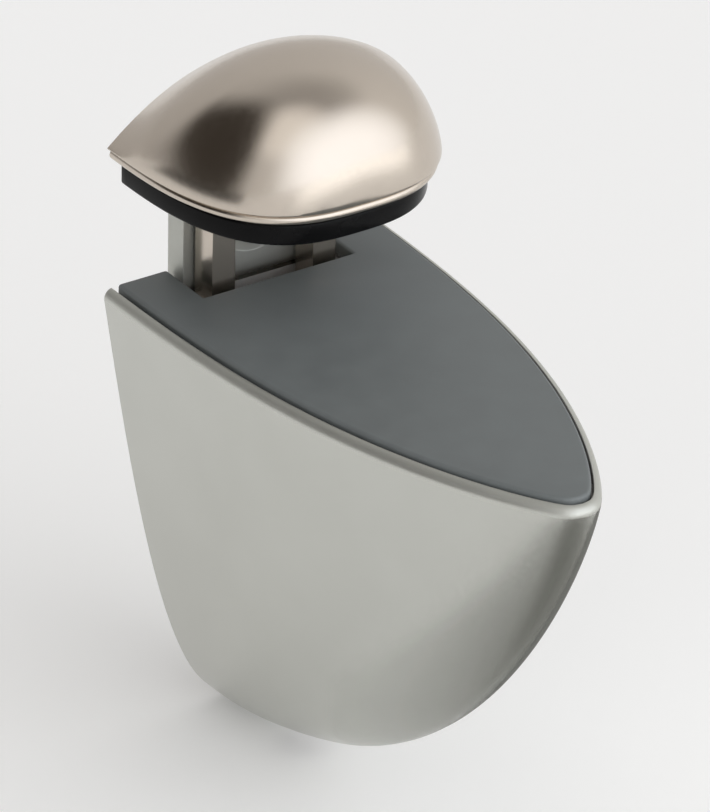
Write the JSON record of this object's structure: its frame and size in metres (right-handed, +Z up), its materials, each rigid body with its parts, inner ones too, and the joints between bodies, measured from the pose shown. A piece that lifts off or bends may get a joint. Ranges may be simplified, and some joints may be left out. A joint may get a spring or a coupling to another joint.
{
  "type": "shelf support",
  "caption": "Wall bracket that clamps the back edge of a glass or wood shelf between a leaf-shaped pouch with a soft pad and a domed upper jaw drawn down by a screw.",
  "frame": {"origin": "on the flat back of the lower jaw's upstand, in its middle, level with the shelf's underside", "axes": "+Y into the wall, square to it; +Z up; +X along the wall, so the bracket stands out towards -Y"},
  "size_m": [0.0226, 0.0446, 0.0549],
  "materials": {
    "satin_nickel": "satin nickel plate on die-cast zinc, warm grey",
    "grey_pad": "smooth dark grey soft plastic",
    "black_pad": "glossy black soft plastic",
    "zinc_steel": "zinc-plated steel"
  },
  "bodies": {
    "lower_jaw": {"lower_jaw": "satin_nickel", "lower_pad": "grey_pad"},
    "upper_jaw": {"upper_jaw": "satin_nickel", "upper_pad": "black_pad"},
    "clamp_screw": {"clamp_screw": "zinc_steel", "screw_washer": "zinc_steel", "retaining_clip": "zinc_steel"}
  },
  "joints": [
    {"name": "screw_turn", "type": "hinge", "parent": "lower_jaw", "child": "clamp_screw", "pos_m": [0, -0.0095, -0.024], "axis": [0, 0, 1], "range_deg": [-1440, 3600]},
    {"name": "jaw_slide", "type": "slide", "parent": "lower_jaw", "child": "upper_jaw", "axis": [0, 0, 1], "range_m": [-0.005, 0.002]}
  ],
  "couplings": [
    {"joint": "screw_turn", "follows": "jaw_slide", "rad_per_m": -12566}
  ]
}
